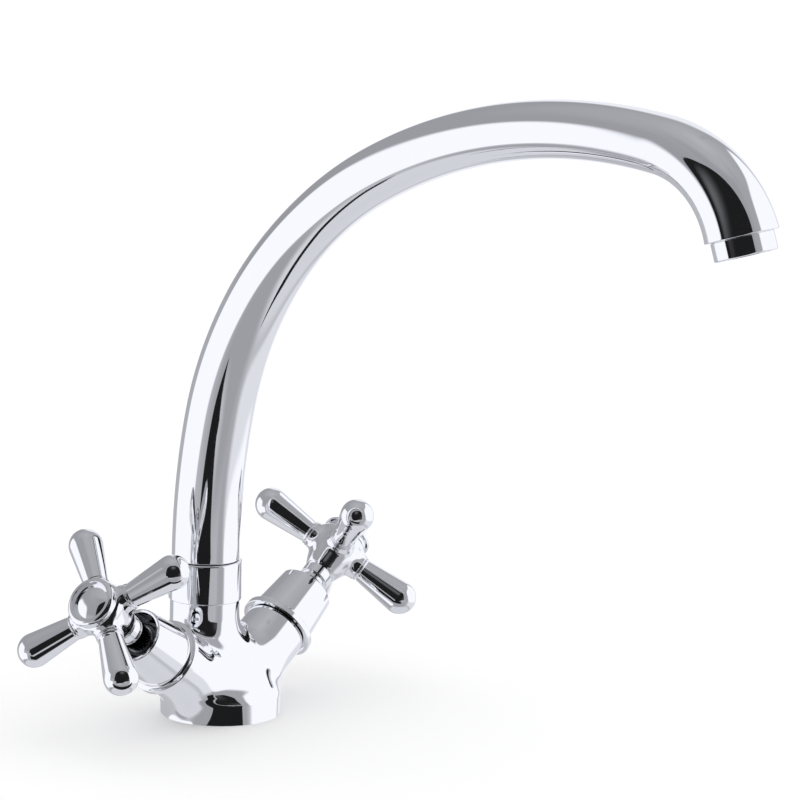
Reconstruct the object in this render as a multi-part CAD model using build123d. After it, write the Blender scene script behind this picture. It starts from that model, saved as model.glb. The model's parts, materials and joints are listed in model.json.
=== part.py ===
"""Two handle kitchen faucet: a Y-shaped cast body on one deck hole, two cross handles
on sloping branches, and a tall curved swivel spout with an aerator at its end.

Frame: origin at the centre of the body's foot, on the deck. +Z up, the spout reaches
towards -Y, the hot side is -X and the cold side is +X. Millimetres.
On a branch, lengths run outwards along its axis from the point where both axes meet.
Threads are plain cylinders at their mean radius. One STEP per sub-part goes to parts/.
"""
from build123d import *
from math import asin, atan2, cos, degrees, hypot, radians, sin, sqrt
import os

# ---------------- driving dimensions ----------------
FIT = 0.05                 # running clearance, on the radius
LAND = 0.05                # gap between faces that are screwed together

# the cast body
FOOT_R = 23.8
NECK_R = 13.9
NECK_TOP = 45.0            # shoulder under the spout's ring nut
SPOUT_Y = 9.1              # the spout's swivel axis stands this far behind the foot's centre
# the body's round sections: (height, centre's Y, radius)
BODY_SECTIONS = [(0, 0, FOOT_R), (8, 0, FOOT_R), (11, 0.5, 23.0), (14, 1.6, 21.6),
                 (20, 3.8, 18.8), (27, 6.8, 15.8), (33, 8.6, 14.3), (39, SPOUT_Y, NECK_R),
                 (NECK_TOP, SPOUT_Y, NECK_R)]
SEAM_HEIGHTS = (5.0, 42.0)  # where the seams between branches and body lie
SEAM_X = 5.0
BODY_BLEND = 6.0           # cast fillet between a branch and the body
BRANCH_TILT = 34.2         # degrees above the deck
BRANCH_Z = 4.4             # height at which the two branch axes meet
BARREL_R = 13.2
BARREL_START = 12.6
BARREL_END = 43.0
SPIGOT_R = 11.7            # threaded end of a branch
SPIGOT_END = 48.5

# water ways and fixings under the foot
INLET_X = 9.9              # M10 x 1 inlets
INLET_R = 4.5
INLET_DEPTH = 9.0
INLET_WAY_R = 4.0
INLET_WAY_END = 14.0
STUD_Y = 13.5              # M8 fixing stud's hole
STUD_R = 3.4
STUD_DEPTH = 14.0
GASKET_R = (20.0, 22.2)
GASKET_DEPTH = 1.8
SEAT_WAY_R = 4.0
SEAT_WAY_START = 14.0
MIX_WAY_R = 3.2
MIX_WAY_START = 31.0
MIX_WAY_Z = 34.0
NECK_BORE_R = 9.0
NECK_FLOOR = 30.0
SOCKET_R = 12.5            # threaded top of the neck, inside the ring nut
SOCKET_TOP = 55.0

# spout joint
NUT_R = 14.6
NUT_TOP = 61.2
NUT_LIP = 58.3
NUT_HOLE_R = 10.8
NIPPLE_FOOT = 38.0
NIPPLE_THREAD_R = 10.4
NIPPLE_TOP = 69.8
NIPPLE_BORE_R = 6.6
NIPPLE_SHOULDER = (56.0, 57.3)
NIPPLE_SHOULDER_R = 11.8
SEAL_GROOVES = (41.0, 47.0)
SEAL_GROOVE_WIDTH = 2.6
SEAL_GROOVE_R = 7.3
SLIP_RING_R = (10.5, 12.2)
SLIP_RING_THICK = 0.9

# spout: the centreline's arcs as (radius, angle from upright at the arc's end),
# and the outer radius at even steps along it
SPOUT_FOOT = 61.4
SPOUT_STRAIGHT = 3.4       # upright length before the first arc
SPOUT_ARCS = [(286.0, 11.6), (154.0, 60.0), (214.0, 97.1), (43.8, 161.5)]
SPOUT_RADII = [13.6, 13.5, 12.4, 11.25, 11.15, 11.1, 11.4, 14.1]
SPOUT_WALL = 2.2
SPOUT_SECTIONS = 29
SPOUT_THREAD_DEPTH = 9.0
SPOUT_WAY_MAX_R = (11.0, 10.0)     # in the riser and in the reach
SPOUT_TIP_FLARE = 1.2      # how fast the tip widens at its very end

# aerator, M24 x 1
AERATOR_R = 12.0
AERATOR_THREAD_R = 11.6
AERATOR_LENGTH = 7.3       # what shows below the spout
AERATOR_EDGE = 0.6
AERATOR_THREAD = 5.5
AERATOR_LIP_R = 9.7        # the inward lip that holds the insert
AERATOR_LIP = 0.8
AERATOR_WASHER_R = 9.4
SOCKET_DEPTH = 7.0
INSERT_R = 10.35
INSERT_WAY_R = 9.3
INSERT_FLOOR = 1.8
GRID_R = 8.4               # the holes' centres stay inside this circle
OUTLET_HOLE_R = 0.85
OUTLET_PITCH = 2.35
SCREEN_HOLE_R = 0.5
SCREEN_PITCH = 1.75
SCREEN_PLACE = 1.2         # below the insert's top
SCREEN_THICK = 0.4

# headwork, G1/2
VALVE_BORE_R = 10.3
VALVE_FLOOR = 24.0
CAGE_R = (8.6, 8.0)
CAGE_END = 34.0
CAGE_WINDOW = (8.0, 4.0)   # width and height of the two water windows
CAGE_WINDOW_START = 0.8    # above the moving disc's lower face
HOUSING_THREAD_END = 47.5
HOUSING_NECK_R = 9.6
HEADWORK_WASHER_R = (9.7, 11.5)
HEX_FLATS = 18.4
HEX_SPAN = (50.0, 55.0)
NOSE_R = 7.2
NOSE_EDGE = 0.6
NOSE_END = 60.0
SEAT_SEAL_WAY_R = 4.5
SEAT_SEAL = (24.0, 25.55)
FIXED_DISC = (25.6, 28.1)
MOVING_DISC = (28.15, 30.15)
DISC_R = 7.9
PORT_R = (2.2, 6.4)
PORT_HALF_ANGLE = 62.0     # each disc has one port of twice this
LUG_WIDTH = 2.4
LUG_DEPTH = 1.3
SPINDLE_FOOT = (30.2, 32.7)
SPINDLE_FOOT_ROOF = 0.9    # what stays over the outlet slot in the spindle's foot
SPINDLE_HEADROOM = 0.4
SPINDLE_R = 5.0
SPINDLE_STEP = 52.0
SPLINE_R = 4.0
SPINDLE_END = 79.0
SPINDLE_SEALS = (36.5, 42.0)
SPINDLE_SEAL_WIDTH = 2.0
SPINDLE_SEAL_R = 3.7
CIRCLIP_T = 60.1
CIRCLIP_R = (3.4, 5.6)
CIRCLIP_THICK = 0.95
CIRCLIP_GAP = 4.0

# bell cover
BELL_LIP = 65.0
BELL_LIP_R = (11.3, 9.9)
BELL_CONE_FOOT = 47.2
BELL_CONE_R = 13.1
BELL_RIM_R = 15.4
BELL_RIM = (41.8, 44.4)
BELL_RIM_EDGE = 0.5
BELL_HOLLOW = (14.2, 44.7)         # radius and length where the hollow under the cone starts
BELL_HOLLOW_MID = (13.35, 45.6)
BELL_SKIRT_R = 13.9
BELL_LIP_EDGE = 0.7
BELL_INSIDE = (10.95, 55.5)        # radius and length of the widest place behind the lip
BELL_BORE_END = 50.2

# cross handle
HUB_T = 87.7               # plane of the four arms
HUB_BACK = 75.2
HUB_BACK_R = 6.6           # the hub widens from here to the arms
HUB_CONE_END = 90.0
HUB_CONE_MID = (8.8, 80.8)
HUB_EDGE = 0.3
HUB_SLEEVE = 61.5
# the stepped sleeve behind the hub: (radius, start, end) of each step
HUB_STEPS = [(5.3, HUB_SLEEVE, 67.9), (5.9, 67.9, 69.0), (5.3, 69.0, 70.4), (6.3, 70.4, 74.3),
             (5.8, 74.3, HUB_BACK)]
SEAM_T = 80.0              # the seams between hub and bosses lie beyond this length
SEAM_R = 8.5               # and outside this radius
HUB_R = 10.4
HUB_BULGE = 0.35
HUB_BULGE_MID = 90.6
HUB_SHOULDER = (93.2, 94.2)
HUB_FRONT_R = 9.6
HUB_WEB = 86.0
HUB_FRONT = 95.2
HUB_CUP_R = 8.85
ARM_PHASE = 41.0           # degrees from level to the first arm
ARM_COUNT = 4
ARM_REACH = 32.4           # from the hub's axis to the centre of an arm's ball end
ARM_BALL_R = 6.9
ARM_ROOT_R = 4.9
ARM_SEAT = 12.4            # where an arm meets its boss
ARM_COLLAR_R = 5.3
ARM_COLLAR = 0.9
ARM_COLLAR_EDGE = 0.25
ARM_GROOVE = (0.35, 0.5)   # depth and length of the groove behind the collar
ARM_STUD_R = 2.5
ARM_STUD_START = 9.0
BOSS_R = 5.5
BOSS_START = 5.0
BOSS_BLEND = 1.4
CAP_R = 10.4
CAP_FRONT = 98.2
CAP_BACK = 95.9
CAP_SKIRT = 91.0
CAP_SKIRT_R = 7.6
CAP_FLOOR = 93.5
CAP_EDGE = 0.4             # rounding at the cap's back
CAP_ROUND = 2.0            # rounding at its front
DISH_R = 8.1
DISH_WALL = (0.3, 2.0)     # the rim's inner wall: how far in and how far down it goes
DOME_TOP = 98.6            # the low dome inside the rim
SCREW_R = 2.45
SCREW_HEAD_R = 4.2
SCREW_HEAD = 3.2
SCREW_SOCKET = 2.0
SCREW_TIP = 70.0

SIDES = {"hot": -1, "cold": 1}


# ---------------- helpers ----------------
def ring(r_out, r_in, z0, z1):
    """A plain ring about Z from z0 to z1; a disc when r_in is 0."""
    upright = (Align.CENTER, Align.CENTER, Align.MIN)
    solid = Cylinder(r_out, z1 - z0, align=upright)
    if r_in > 0:
        solid -= Cylinder(r_in, z1 - z0, align=upright)
    return Pos(0, 0, z0) * solid


def rod(r, start, end):
    """A cylinder of radius r between two points."""
    run = end - start
    plane = Plane(origin=start, z_dir=run.normalized())
    return plane * Cylinder(r, run.length, align=(Align.CENTER, Align.CENTER, Align.MIN))


def turned(points, bulges=None):
    """A solid of revolution about Z from (r, z) points; bulges give an arc's middle point."""
    bulges = bulges or {}
    edges = []
    for i, point in enumerate(points):
        following = points[(i + 1) % len(points)]
        start, end = (point[0], 0, point[1]), (following[0], 0, following[1])
        if i in bulges:
            middle = (bulges[i][0], 0, bulges[i][1])
            edges.append(ThreePointArc(start, middle, end))
        else:
            edges.append(Line(start, end))
    face = make_face(edges)
    return revolve(face, axis=Axis.Z)


def seal_ring(r_inner, r_outer, z):
    """An O-ring about Z that fills the gap between two radii."""
    minor = (r_outer - r_inner) / 2
    return Pos(0, 0, z) * Torus(r_inner + minor, minor)


def sector(r_in, r_out, z0, z1, half_angle, middle=0.0):
    """A ring's sector about the direction `middle`, in degrees."""
    low, high = radians(middle - half_angle), radians(middle + half_angle)

    def at(r, a):
        return (r * cos(a), r * sin(a), z0)

    mid = radians(middle)
    edges = [ThreePointArc(at(r_out, low), at(r_out, mid), at(r_out, high)),
             Line(at(r_out, high), at(r_in, high)),
             ThreePointArc(at(r_in, high), at(r_in, mid), at(r_in, low)),
             Line(at(r_in, low), at(r_out, low))]
    return extrude(make_face(edges), amount=z1 - z0, dir=(0, 0, 1))


def hole_grid(r_limit, pitch):
    """Points of a triangular grid inside a circle."""
    rows = int(r_limit / pitch) + 1
    points = []
    for row in range(-rows, rows + 1):
        y = row * pitch * sqrt(3) / 2
        for column in range(-rows - 1, rows + 2):
            x = (column + 0.5 * (row % 2)) * pitch
            if hypot(x, y) <= r_limit:
                points.append((x, y))
    return points


def pierced(disc, r_limit, pitch, hole_r, z0, z1):
    """The disc with a triangular grid of round holes from z0 to z1."""
    drill = Cylinder(hole_r, z1 - z0 + 0.4, align=(Align.CENTER, Align.CENTER, Align.MIN))
    holes = [Pos(x, y, z0 - 0.2) * drill for x, y in hole_grid(r_limit, pitch)]
    return disc - holes


def branch_plane(side):
    """A plane whose Z is the branch axis, outwards, and whose X is level."""
    tilt = radians(BRANCH_TILT)
    out = SIDES[side]
    return Plane(origin=(0, 0, BRANCH_Z), x_dir=(0, -out, 0),
                 z_dir=(out * cos(tilt), 0, sin(tilt)))


def on_branch(side, t):
    """The point at length t on a branch axis."""
    plane = branch_plane(side)
    return plane.origin + plane.z_dir * t


def group(solids):
    """Loose pieces of one kind that share a node."""
    return Compound([solid for shape in solids for solid in shape.solids()])


# ---------------- the spout's line ----------------
def spout_line():
    """The arcs as (start length, start Y, start Z, start angle, radius, end angle)."""
    rows = []
    length, y, z, angle = SPOUT_STRAIGHT, SPOUT_Y, SPOUT_FOOT + SPOUT_STRAIGHT, 0.0
    for radius, end_degrees in SPOUT_ARCS:
        end = radians(end_degrees)
        rows.append((length, y, z, angle, radius, end))
        centre_y, centre_z = y - radius * cos(angle), z - radius * sin(angle)
        y, z = centre_y + radius * cos(end), centre_z + radius * sin(end)
        length += radius * (end - angle)
        angle = end
    return rows, length


def spout_point(s):
    """The centreline's point and direction at length s."""
    if s < SPOUT_STRAIGHT:
        return Vector(0, SPOUT_Y, SPOUT_FOOT + s), Vector(0, 0, 1)
    for start, y, z, angle, radius, end in spout_line()[0]:
        span = radius * (end - angle)
        if s <= start + span + 1e-9:
            break
    now = angle + (s - start) / radius
    centre_y, centre_z = y - radius * cos(angle), z - radius * sin(angle)
    point = Vector(0, centre_y + radius * cos(now), centre_z + radius * sin(now))
    return point, Vector(0, -sin(now), cos(now))


def spout_radius(s):
    """The outer radius at length s, smooth through SPOUT_RADII."""
    steps = len(SPOUT_RADII) - 1
    place = min(max(s / spout_line()[1], 0.0), 1.0) * steps
    i = min(int(place), steps - 1)
    u = place - i

    def slope(k):
        if k in (0, steps):
            return 0.0
        before, after = SPOUT_RADII[k] - SPOUT_RADII[k - 1], SPOUT_RADII[k + 1] - SPOUT_RADII[k]
        return 0.0 if before * after <= 0 else 2 * before * after / (before + after)

    a, b = SPOUT_RADII[i], SPOUT_RADII[i + 1]
    end_slope = slope(i + 1)
    if i + 1 == steps:
        end_slope = (b - a) * SPOUT_TIP_FLARE
    return (a * (1 + 2 * u) * (1 - u) ** 2 + slope(i) * u * (1 - u) ** 2
            + b * u * u * (3 - 2 * u) - end_slope * u * u * (1 - u))


def spout_plane(s):
    point, direction = spout_point(s)
    return Plane(origin=point, x_dir=(1, 0, 0), z_dir=direction)


def spout_loft(s0, s1, radius_of, count):
    """A round loft along the centreline from s0 to s1."""
    lengths = [s0 + (s1 - s0) * i / (count - 1) for i in range(count)]
    return loft([(spout_plane(s) * Circle(radius_of(s))).face() for s in lengths])


# ---------------- fixed pieces ----------------
def valve_body():
    """The chromed casting: foot, neck, two branches, and the water ways inside."""
    sections = [Plane(origin=(0, y, z), x_dir=(0, 1, 0), z_dir=(0, 0, 1)) * Circle(r)
                for z, y, r in BODY_SECTIONS]
    body = loft([section.face() for section in sections])
    for side in SIDES:
        body += branch_plane(side) * ring(BARREL_R, 0, BARREL_START, BARREL_END)
    seams = [edge for edge in body.edges()
             if edge.geom_type == GeomType.BSPLINE
             and SEAM_HEIGHTS[0] < edge.center().Z < SEAM_HEIGHTS[1]
             and abs(edge.center().X) > SEAM_X]
    body = body.fillet(BODY_BLEND, seams)
    for side in SIDES:
        body += branch_plane(side) * ring(SPIGOT_R, 0, BARREL_END - 1, SPIGOT_END)
    body += Pos(0, SPOUT_Y, 0) * ring(SOCKET_R, 0, NECK_TOP - 1, SOCKET_TOP)

    body -= Pos(0, SPOUT_Y, 0) * ring(NECK_BORE_R, 0, NECK_FLOOR, SOCKET_TOP)
    body -= ring(GASKET_R[1], GASKET_R[0], 0, GASKET_DEPTH)
    body -= Pos(0, STUD_Y, 0) * ring(STUD_R, 0, 0, STUD_DEPTH)
    for side, out in SIDES.items():
        plane = branch_plane(side)
        body -= Pos(out * INLET_X, 0, 0) * ring(INLET_R, 0, 0, INLET_DEPTH)
        body -= Pos(out * INLET_X, 0, 0) * ring(INLET_WAY_R, 0, 0, INLET_WAY_END)
        body -= plane * ring(SEAT_WAY_R, 0, SEAT_WAY_START, VALVE_FLOOR + 0.5)
        body -= plane * ring(VALVE_BORE_R, 0, VALVE_FLOOR, SPIGOT_END)
        body -= rod(MIX_WAY_R, on_branch(side, MIX_WAY_START), Vector(0, SPOUT_Y, MIX_WAY_Z))
    return body


def foot_gasket():
    return ring(GASKET_R[1] - LAND, GASKET_R[0] + LAND, 0, GASKET_DEPTH - LAND)


def ring_nut():
    """The plain chromed nut that holds the spout's nipple down on the neck."""
    nut = turned([(SOCKET_R, NECK_TOP + LAND), (NUT_R - 0.5, NECK_TOP + LAND),
                  (NUT_R, NECK_TOP + 0.5), (NUT_R, NUT_TOP - 0.7), (NUT_R - 0.7, NUT_TOP),
                  (NUT_HOLE_R, NUT_TOP), (NUT_HOLE_R, NUT_LIP), (SOCKET_R, NUT_LIP)],
                 {3: (NUT_R - 0.2, NUT_TOP - 0.2)})
    return Pos(0, SPOUT_Y, 0) * nut


def bell_cover():
    """The hollow cone that hides a headwork, with a flat skirt over the branch's end."""
    web = BARREL_END + LAND
    edge, lip = BELL_RIM_EDGE, BELL_LIP_EDGE
    return turned(
        [(BELL_SKIRT_R, BELL_RIM[0]), (BELL_RIM_R - edge, BELL_RIM[0]),
         (BELL_RIM_R, BELL_RIM[0] + edge), (BELL_RIM_R, BELL_RIM[1] - edge),
         (BELL_RIM_R - edge, BELL_RIM[1]), BELL_HOLLOW, (BELL_CONE_R, BELL_CONE_FOOT),
         (BELL_LIP_R[0], BELL_LIP - lip), (BELL_LIP_R[0] - lip, BELL_LIP),
         (BELL_LIP_R[1], BELL_LIP - edge), (BELL_LIP_R[1], BELL_LIP - 2 * edge),
         BELL_INSIDE, (SPIGOT_R + LAND, BELL_BORE_END), (SPIGOT_R + LAND, web),
         (BELL_SKIRT_R, web)],
        {3: (BELL_RIM_R - 0.3 * edge, BELL_RIM[1] - 0.3 * edge), 5: BELL_HOLLOW_MID,
         7: (BELL_LIP_R[0] - 0.3 * lip, BELL_LIP - 0.3 * lip)})


def valve_housing():
    """The nickel-plated headwork body: slotted cage, thread, hexagon and nose."""
    cage_start = VALVE_FLOOR + 2 * LAND
    ceiling = SPINDLE_FOOT[1] + SPINDLE_HEADROOM
    body = turned([(CAGE_R[1], cage_start), (CAGE_R[0], cage_start), (CAGE_R[0], CAGE_END),
                   (VALVE_BORE_R, CAGE_END), (VALVE_BORE_R, HOUSING_THREAD_END),
                   (HOUSING_NECK_R, HOUSING_THREAD_END), (HOUSING_NECK_R, HEX_SPAN[0]),
                   (NOSE_R, HEX_SPAN[0]), (NOSE_R, NOSE_END - NOSE_EDGE),
                   (NOSE_R - NOSE_EDGE, NOSE_END), (SPINDLE_R + FIT, NOSE_END),
                   (SPINDLE_R + FIT, ceiling), (CAGE_R[1], ceiling)])
    hexagon = extrude(Plane.XY.offset(HEX_SPAN[0]) * RegularPolygon(HEX_FLATS / 2, 6,
                      major_radius=False), amount=HEX_SPAN[1] - HEX_SPAN[0])
    hexagon -= ring(NOSE_R - 1, 0, HEX_SPAN[0], HEX_SPAN[1])
    body += hexagon
    window = Pos(0, 0, MOVING_DISC[0] + CAGE_WINDOW_START) * Box(
        CAGE_WINDOW[0], 2 * CAGE_R[0] + 2, CAGE_WINDOW[1],
        align=(Align.CENTER, Align.CENTER, Align.MIN))
    return body - window


def headwork_washer():
    inner, outer = HEADWORK_WASHER_R
    return ring(outer, inner, SPIGOT_END + LAND, HEX_SPAN[0] - LAND)


def seat_seal():
    return ring(CAGE_R[1] - LAND, SEAT_SEAL_WAY_R, SEAT_SEAL[0], SEAT_SEAL[1])


def fixed_disc():
    disc = ring(DISC_R, 0, FIXED_DISC[0], FIXED_DISC[1])
    return disc - sector(PORT_R[0], PORT_R[1], FIXED_DISC[0], FIXED_DISC[1], PORT_HALF_ANGLE)


# ---------------- pieces that turn with a handle ----------------
def drive_lugs(width, depth, z0, z1):
    """Two blocks at the rim of a disc, across the port's direction."""
    place = DISC_R - depth / 2
    block = Box(width, depth, z1 - z0, align=(Align.CENTER, Align.CENTER, Align.MIN))
    return [Pos(0, sign * place, z0) * block for sign in (-1, 1)]


def moving_disc():
    disc = ring(DISC_R - FIT, 0, MOVING_DISC[0], MOVING_DISC[1])
    disc -= sector(PORT_R[0], PORT_R[1], MOVING_DISC[0], MOVING_DISC[1], PORT_HALF_ANGLE, 180)
    return disc - drive_lugs(LUG_WIDTH, LUG_DEPTH + 0.4, MOVING_DISC[0], MOVING_DISC[1])


def spindle():
    """Foot with lugs and an outlet slot, a sealed stem, and the spline under the hub."""
    stem = turned([(0, SPINDLE_FOOT[0]), (DISC_R - 0.1, SPINDLE_FOOT[0]),
                   (DISC_R - 0.1, SPINDLE_FOOT[1]), (SPINDLE_R, SPINDLE_FOOT[1]),
                   (SPINDLE_R, SPINDLE_STEP - 1), (SPLINE_R, SPINDLE_STEP),
                   (SPLINE_R, SPINDLE_END - 0.4), (SPLINE_R - 0.4, SPINDLE_END),
                   (0, SPINDLE_END)])
    stem -= sector(PORT_R[0], DISC_R + 1, SPINDLE_FOOT[0],
                   SPINDLE_FOOT[1] - SPINDLE_FOOT_ROOF, PORT_HALF_ANGLE, 180)
    lug_start = MOVING_DISC[0] + 0.7
    stem += drive_lugs(LUG_WIDTH - 0.2, LUG_DEPTH - 0.2, lug_start, SPINDLE_FOOT[0] + 0.5)
    for groove in SPINDLE_SEALS:
        stem -= ring(SPINDLE_R + 1, SPINDLE_SEAL_R, groove, groove + SPINDLE_SEAL_WIDTH)
    stem -= ring(SPINDLE_R + 1, CIRCLIP_R[0], CIRCLIP_T, CIRCLIP_T + CIRCLIP_THICK + 0.1)
    return stem - ring(SCREW_R + FIT, 0, SCREW_TIP - 1, SPINDLE_END)


def spindle_seals():
    return group(seal_ring(SPINDLE_SEAL_R + 0.01, SPINDLE_R + FIT - 0.02,
                           groove + SPINDLE_SEAL_WIDTH / 2) for groove in SPINDLE_SEALS)


def circlip():
    clip = ring(CIRCLIP_R[1], CIRCLIP_R[0] + 0.02, CIRCLIP_T + 0.05,
                CIRCLIP_T + 0.05 + CIRCLIP_THICK)
    return clip - Pos(CIRCLIP_R[1], 0, CIRCLIP_T) * Box(
        CIRCLIP_GAP, CIRCLIP_GAP, CIRCLIP_GAP)


def arm_place(k):
    """The frame of arm k: its Z runs outwards from the hub's axis."""
    angle = radians(ARM_PHASE + 360 / ARM_COUNT * k)
    return Plane(origin=(0, 0, HUB_T), x_dir=(0, 0, 1), z_dir=(cos(angle), sin(angle), 0))


def hub():
    """The handle's barrel-shaped hub with four bosses and a sleeve over the spindle."""
    body = turned(
        [(0, HUB_BACK), (HUB_BACK_R - HUB_EDGE, HUB_BACK), (HUB_BACK_R, HUB_BACK + HUB_EDGE),
         (HUB_R, HUB_CONE_END), (HUB_R, HUB_SHOULDER[0]), (HUB_FRONT_R, HUB_SHOULDER[1]),
         (HUB_FRONT_R, HUB_FRONT), (0, HUB_FRONT)],
        {2: HUB_CONE_MID, 3: (HUB_R + HUB_BULGE, HUB_BULGE_MID)})
    boss = Cylinder(BOSS_R, ARM_SEAT - BOSS_START,
                    align=(Align.CENTER, Align.CENTER, Align.MIN))
    body += [arm_place(k) * Pos(0, 0, BOSS_START) * boss for k in range(ARM_COUNT)]
    seams = [edge for edge in body.edges()
             if edge.geom_type == GeomType.BSPLINE and edge.center().Z > SEAM_T
             and hypot(edge.center().X, edge.center().Y) > SEAM_R]
    body = body.fillet(BOSS_BLEND, seams)
    body += [ring(r, 0, start, end) for r, start, end in HUB_STEPS]
    body -= ring(SPLINE_R + 0.02, 0, HUB_SLEEVE, SPINDLE_END + LAND)
    body -= ring(SCREW_R + 0.3, 0, SPINDLE_END, HUB_WEB)
    body -= ring(HUB_CUP_R, 0, HUB_WEB, HUB_FRONT)
    stud = Cylinder(ARM_STUD_R, ARM_SEAT, align=(Align.CENTER, Align.CENTER, Align.MIN))
    return body - [arm_place(k) * stud for k in range(ARM_COUNT)]


def arm():
    """One teardrop arm about Z: threaded stud, seam collar, cone and ball end."""
    edge, (groove, groove_length) = ARM_COLLAR_EDGE, ARM_GROOVE
    start, root = ARM_SEAT + ARM_COLLAR + groove_length, ARM_ROOT_R
    away, aside = ARM_REACH - start, root
    slope = asin(ARM_BALL_R / hypot(away, aside)) - atan2(aside, away)
    tangent = (ARM_BALL_R * cos(slope), ARM_REACH - ARM_BALL_R * sin(slope))
    bulge = radians((90 - degrees(slope)) / 2 + degrees(slope))
    return turned(
        [(0, ARM_STUD_START), (ARM_STUD_R, ARM_STUD_START), (ARM_STUD_R, ARM_SEAT),
         (ARM_COLLAR_R - edge, ARM_SEAT), (ARM_COLLAR_R, ARM_SEAT + edge),
         (ARM_COLLAR_R, ARM_SEAT + ARM_COLLAR - edge),
         (ARM_COLLAR_R - edge, ARM_SEAT + ARM_COLLAR),
         (root - groove, ARM_SEAT + ARM_COLLAR), (root, start), tangent,
         (0, ARM_REACH + ARM_BALL_R)],
        {9: (ARM_BALL_R * cos(bulge), ARM_REACH + ARM_BALL_R * sin(bulge))})


def arms():
    one = arm()
    return group(arm_place(k) * one for k in range(ARM_COUNT))


def cap():
    """The front cap: a raised rounded rim round a low bare dome, on a push-in skirt."""
    edge_r, edge_z = DISH_R - DISH_WALL[0], CAP_FRONT - DISH_WALL[1]
    rise = DOME_TOP - edge_z
    dome_r = (edge_r ** 2 + rise ** 2) / (2 * rise)
    middle = (edge_r / 2, DOME_TOP - dome_r + sqrt(dome_r ** 2 - edge_r ** 2 / 4))
    edge, front = CAP_EDGE, CAP_ROUND
    return turned(
        [(0, CAP_FLOOR), (CAP_SKIRT_R, CAP_FLOOR), (CAP_SKIRT_R, CAP_SKIRT),
         (HUB_CUP_R - LAND, CAP_SKIRT), (HUB_CUP_R - LAND, CAP_BACK),
         (CAP_R - edge, CAP_BACK), (CAP_R, CAP_FRONT - front), (CAP_R - front, CAP_FRONT),
         (DISH_R, CAP_FRONT), (edge_r, edge_z), (0, DOME_TOP)],
        {6: (CAP_R - 0.3 * front, CAP_FRONT - 0.3 * front), 9: middle})


def handle_screw():
    screw = ring(SCREW_R, 0, SCREW_TIP, HUB_WEB) + ring(SCREW_HEAD_R, 0, HUB_WEB,
                                                        HUB_WEB + SCREW_HEAD)
    socket = extrude(Plane.XY.offset(HUB_WEB + SCREW_HEAD - SCREW_SOCKET)
                     * RegularPolygon(SCREW_SOCKET, 6, major_radius=False), amount=SCREW_SOCKET)
    return screw - socket


# ---------------- pieces that turn with the spout ----------------
def spout_tube():
    """The curved tapering tube, threaded at both ends."""
    total = spout_line()[1]
    outside = spout_loft(0, total, spout_radius, SPOUT_SECTIONS)

    def way(s):
        return min(spout_radius(s) - SPOUT_WALL, SPOUT_WAY_MAX_R[int(s >= total / 2)])

    tube = outside - spout_loft(SPOUT_THREAD_DEPTH - 0.5, total - SOCKET_DEPTH + 0.4, way,
                                SPOUT_SECTIONS)
    tube -= spout_plane(0) * ring(NIPPLE_THREAD_R, 0, -1, SPOUT_THREAD_DEPTH)
    return tube - spout_plane(total) * ring(AERATOR_THREAD_R, 0, -SOCKET_DEPTH, 1)


def spout_nipple():
    z0, z1 = NIPPLE_SHOULDER
    stem_r = NECK_BORE_R - FIT
    nipple = turned([(NIPPLE_BORE_R, NIPPLE_FOOT), (stem_r - 0.8, NIPPLE_FOOT),
                     (stem_r, NIPPLE_FOOT + 0.8), (stem_r, z0), (NIPPLE_SHOULDER_R, z0),
                     (NIPPLE_SHOULDER_R, z1), (NIPPLE_THREAD_R, z1),
                     (NIPPLE_THREAD_R, NIPPLE_TOP), (NIPPLE_BORE_R, NIPPLE_TOP)])
    for groove in SEAL_GROOVES:
        nipple -= ring(stem_r + 1, SEAL_GROOVE_R, groove, groove + SEAL_GROOVE_WIDTH)
    return Pos(0, SPOUT_Y, 0) * nipple


def spout_seals():
    return Pos(0, SPOUT_Y, 0) * group(
        seal_ring(SEAL_GROOVE_R + 0.01, NECK_BORE_R - 0.02, groove + SEAL_GROOVE_WIDTH / 2)
        for groove in SEAL_GROOVES)


def slip_rings():
    """Two plain plastic rings, under and over the nipple's shoulder."""
    below, above = SOCKET_TOP + 0.03, NIPPLE_SHOULDER[1] + LAND
    return Pos(0, SPOUT_Y, 0) * group(
        ring(SLIP_RING_R[1], SLIP_RING_R[0], z, z + SLIP_RING_THICK) for z in (below, above))


def tip_plane():
    return spout_plane(spout_line()[1])


def aerator_housing():
    sleeve = turned([(INSERT_R + LAND, -AERATOR_THREAD), (AERATOR_THREAD_R, -AERATOR_THREAD),
                     (AERATOR_THREAD_R, LAND), (AERATOR_R, LAND),
                     (AERATOR_R, AERATOR_LENGTH - AERATOR_EDGE),
                     (AERATOR_R - AERATOR_EDGE, AERATOR_LENGTH),
                     (AERATOR_LIP_R, AERATOR_LENGTH),
                     (AERATOR_LIP_R, AERATOR_LENGTH - AERATOR_LIP),
                     (INSERT_R + LAND, AERATOR_LENGTH - AERATOR_LIP)],
                    {4: (AERATOR_R - 0.3 * AERATOR_EDGE, AERATOR_LENGTH - 0.3 * AERATOR_EDGE)})
    return tip_plane() * sleeve


def aerator_washer():
    return tip_plane() * ring(AERATOR_THREAD_R - LAND, AERATOR_WASHER_R, -SOCKET_DEPTH,
                              -AERATOR_THREAD - LAND)


def aerator_insert():
    """A plastic cup whose floor is the outlet grid."""
    top, bottom = 2 * LAND - AERATOR_THREAD, AERATOR_LENGTH - AERATOR_LIP - LAND
    plate = bottom - INSERT_FLOOR
    cup = turned([(INSERT_WAY_R, top), (INSERT_R, top), (INSERT_R, bottom), (0, bottom),
                  (0, plate), (INSERT_WAY_R, plate)])
    return tip_plane() * pierced(cup, GRID_R, OUTLET_PITCH, OUTLET_HOLE_R, plate, bottom)


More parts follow.
